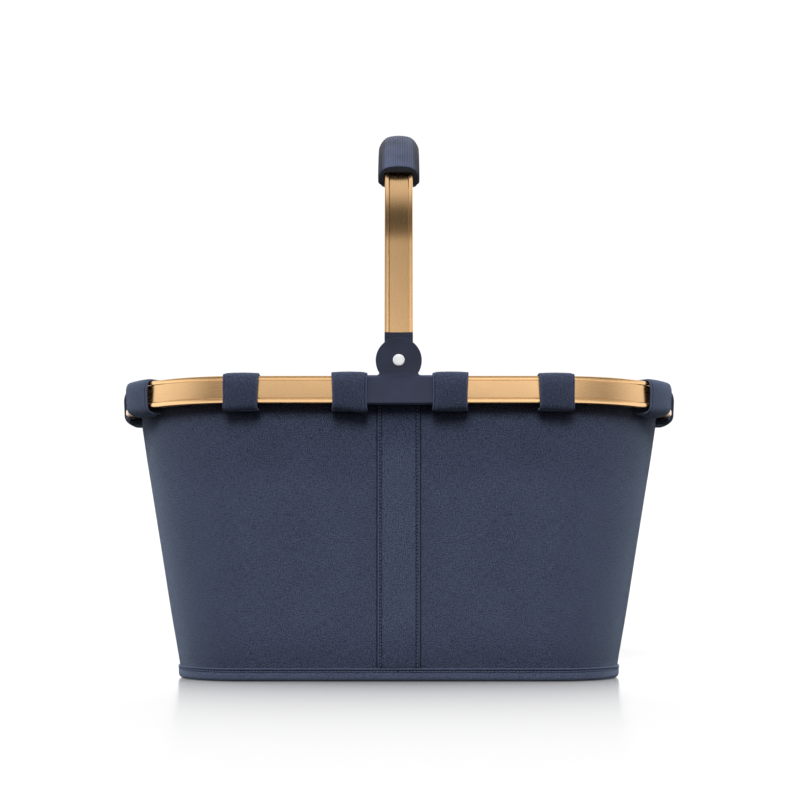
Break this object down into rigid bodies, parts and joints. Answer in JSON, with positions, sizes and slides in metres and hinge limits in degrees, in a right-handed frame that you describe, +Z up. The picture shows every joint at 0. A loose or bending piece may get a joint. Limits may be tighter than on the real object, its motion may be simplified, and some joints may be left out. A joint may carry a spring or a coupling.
{
  "type": "fabric carry basket",
  "caption": "Open fabric carry basket hung by straps in a gold aluminium rim frame, with a swinging arched handle and an inner zip pocket.",
  "frame": {"origin": "middle of the base, on the plane it stands on", "axes": "+X along the basket, -Y its front, +Z up; the handle turns about Y"},
  "size_m": [0.4764, 0.2772, 0.4623],
  "materials": {
    "gold_aluminium": "pale gold anodised, finely brushed, satin",
    "rivet_metal": "bright turned metal",
    "navy_plastic": "moulded, fine matt grain",
    "grip_foam": "soft matt grip with fine lengthwise ribs",
    "body_fabric": "dense woven polyester, matt",
    "binding_fabric": "woven binding, stitched along its edges",
    "strap_webbing": "doubled woven fabric, stitched",
    "lining_fabric": "plain woven lining",
    "hook_and_loop": "hook-and-loop pile",
    "board": "stiffening board covered in lining",
    "zip_tape": "ribbed zip tape",
    "zip_coil": "moulded teeth",
    "zip_metal": "plated zinc"
  },
  "bodies": {
    "basket": {"frame_bow_left": "gold_aluminium", "frame_bow_right": "gold_aluminium", "hinge_connector_front": "navy_plastic", "hinge_connector_back": "navy_plastic", "frame_lock_rivets": "rivet_metal", "pivot_rivet_front": "rivet_metal", "pivot_rivet_back": "rivet_metal", "pivot_washer_front": "rivet_metal", "pivot_washer_back": "rivet_metal", "wall_left": "body_fabric", "wall_right": "body_fabric", "seam_strap_front": "binding_fabric", "seam_strap_back": "binding_fabric", "rim_binding": "binding_fabric", "base_panel": "body_fabric", "base_board": "board", "base_binding": "binding_fabric", "closure_pads": "hook_and_loop", "strap_front_1": "strap_webbing", "strap_front_2": "strap_webbing", "strap_front_3": "strap_webbing", "strap_front_4": "strap_webbing", "strap_back_1": "strap_webbing", "strap_back_2": "strap_webbing", "strap_back_3": "strap_webbing", "strap_back_4": "strap_webbing", "strap_corner_1": "strap_webbing", "strap_corner_2": "strap_webbing", "strap_corner_3": "strap_webbing", "strap_corner_4": "strap_webbing", "strap_side_left": "strap_webbing", "strap_side_right": "strap_webbing", "pocket_panel": "lining_fabric", "zip_tape": "zip_tape", "zip_teeth": "zip_coil", "zip_stops": "zip_metal"},
    "handle": {"handle_bow": "gold_aluminium", "handle_end_front": "navy_plastic", "handle_end_back": "navy_plastic", "handle_lock_rivets": "rivet_metal", "handle_grip": "grip_foam"},
    "zip_slider": {"zip_slider": "zip_metal"},
    "zip_puller": {"zip_puller": "zip_metal"}
  },
  "joints": [
    {"name": "handle_swing", "type": "hinge", "parent": "basket", "child": "handle", "pos_m": [0, 0, 0.2515], "axis": [0, 1, 0], "range_deg": [-84, 84]},
    {"name": "zip_slide", "type": "slide", "parent": "basket", "child": "zip_slider", "axis": [1, 0, 0], "range_m": [0, 0.168]},
    {"name": "zip_pull", "type": "hinge", "parent": "zip_slider", "child": "zip_puller", "pos_m": [-0.084, 0.11091, 0.17808], "axis": [0, 0.1075, 0.9942], "range_deg": [-175, 0]}
  ]
}
